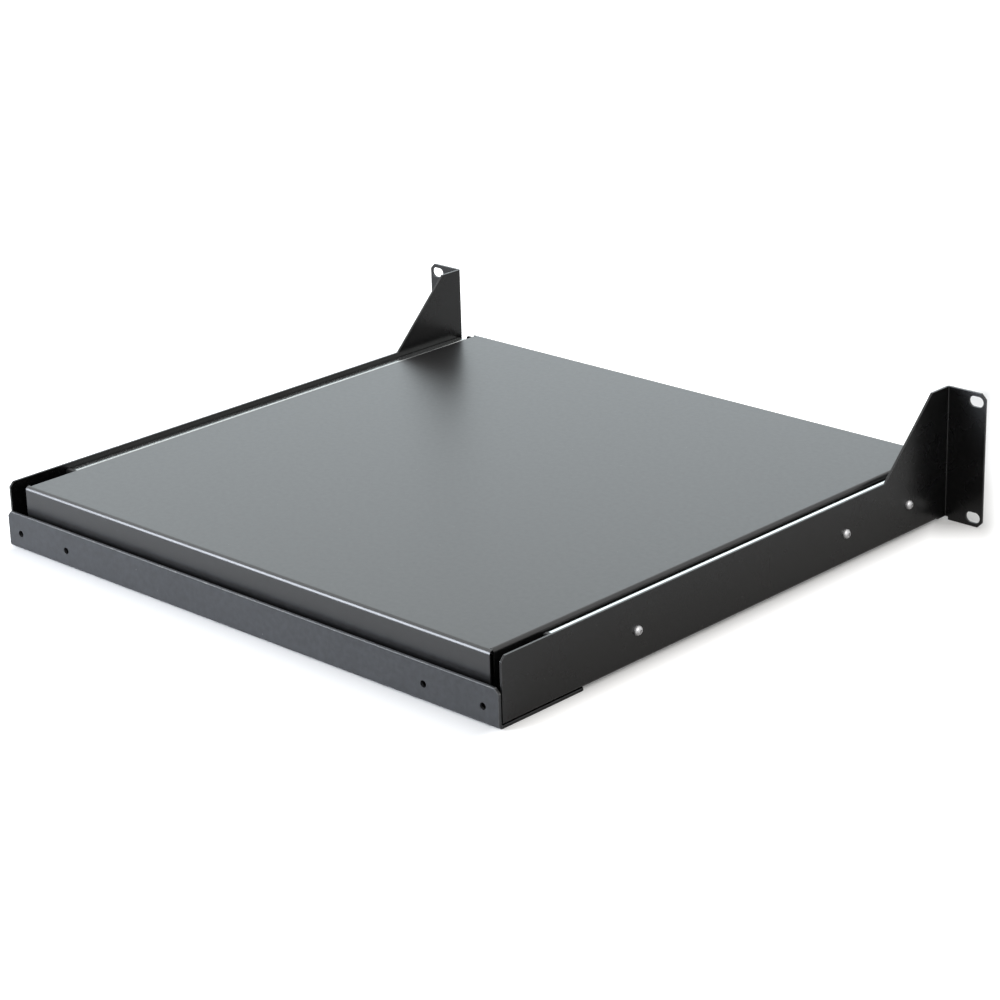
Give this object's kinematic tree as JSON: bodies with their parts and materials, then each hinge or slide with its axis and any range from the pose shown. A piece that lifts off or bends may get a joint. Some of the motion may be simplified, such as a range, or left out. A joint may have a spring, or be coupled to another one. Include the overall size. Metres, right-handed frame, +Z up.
{
  "type": "sliding rack shelf",
  "caption": "Flat steel tray that slides fully out of a rack on ball-bearing telescopic slides between eared side brackets tied by a rear crossbar.",
  "frame": {"origin": "centre of the four rack slots, in the plane where the backs of the ears bear on the rack's uprights", "axes": "+Z up, -Y out of the rack's front in the direction the tray slides, +X to the right as seen from the front"},
  "size_m": [0.479, 0.4129, 0.088],
  "materials": {
    "bracket_coat": "satin black powder coat on sheet steel",
    "tray_coat": "fine satin black powder coat on sheet steel",
    "slide_zinc": "bright zinc plate on rolled steel",
    "cage_steel": "plain pressed steel",
    "ball_steel": "polished steel",
    "rivet_metal": "satin",
    "bumper_plastic": "matt black moulded plastic"
  },
  "bodies": {
    "frame": {"left_side_bracket": "bracket_coat", "right_side_bracket": "bracket_coat", "rear_crossbar": "bracket_coat", "left_crossbar_rivets": "bracket_coat", "right_crossbar_rivets": "bracket_coat", "left_outer_member": "slide_zinc", "right_outer_member": "slide_zinc", "left_bracket_rivets": "rivet_metal", "right_bracket_rivets": "rivet_metal", "left_rear_bumper": "bumper_plastic", "right_rear_bumper": "bumper_plastic"},
    "tray": {"tray_pan": "tray_coat", "left_inner_member": "slide_zinc", "right_inner_member": "slide_zinc", "left_tray_rivets": "rivet_metal", "right_tray_rivets": "rivet_metal"},
    "left_middle": {"left_middle_member": "slide_zinc"},
    "right_middle": {"right_middle_member": "slide_zinc"},
    "left_outer_race": {"left_outer_cage": "cage_steel", "left_outer_balls": "ball_steel"},
    "right_outer_race": {"right_outer_cage": "cage_steel", "right_outer_balls": "ball_steel"},
    "left_inner_race": {"left_inner_cage": "cage_steel", "left_inner_balls": "ball_steel"},
    "right_inner_race": {"right_inner_cage": "cage_steel", "right_inner_balls": "ball_steel"}
  },
  "joints": [
    {"name": "tray_slide", "type": "slide", "parent": "frame", "child": "tray", "axis": [0, -1, 0], "range_m": [0, 0.35]},
    {"name": "left_middle_slide", "type": "slide", "parent": "frame", "child": "left_middle", "axis": [0, -1, 0], "range_m": [0, 0.175]},
    {"name": "right_middle_slide", "type": "slide", "parent": "frame", "child": "right_middle", "axis": [0, -1, 0], "range_m": [0, 0.175]},
    {"name": "left_outer_race_slide", "type": "slide", "parent": "frame", "child": "left_outer_race", "axis": [0, -1, 0], "range_m": [0, 0.0875]},
    {"name": "right_outer_race_slide", "type": "slide", "parent": "frame", "child": "right_outer_race", "axis": [0, -1, 0], "range_m": [0, 0.0875]},
    {"name": "left_inner_race_slide", "type": "slide", "parent": "frame", "child": "left_inner_race", "axis": [0, -1, 0], "range_m": [0, 0.2625]},
    {"name": "right_inner_race_slide", "type": "slide", "parent": "frame", "child": "right_inner_race", "axis": [0, -1, 0], "range_m": [0, 0.2625]}
  ],
  "couplings": [
    {"joint": "left_middle_slide", "follows": "tray_slide", "ratio": 0.5},
    {"joint": "right_middle_slide", "follows": "tray_slide", "ratio": 0.5},
    {"joint": "left_outer_race_slide", "follows": "tray_slide", "ratio": 0.25},
    {"joint": "right_outer_race_slide", "follows": "tray_slide", "ratio": 0.25},
    {"joint": "left_inner_race_slide", "follows": "tray_slide", "ratio": 0.75},
    {"joint": "right_inner_race_slide", "follows": "tray_slide", "ratio": 0.75}
  ]
}
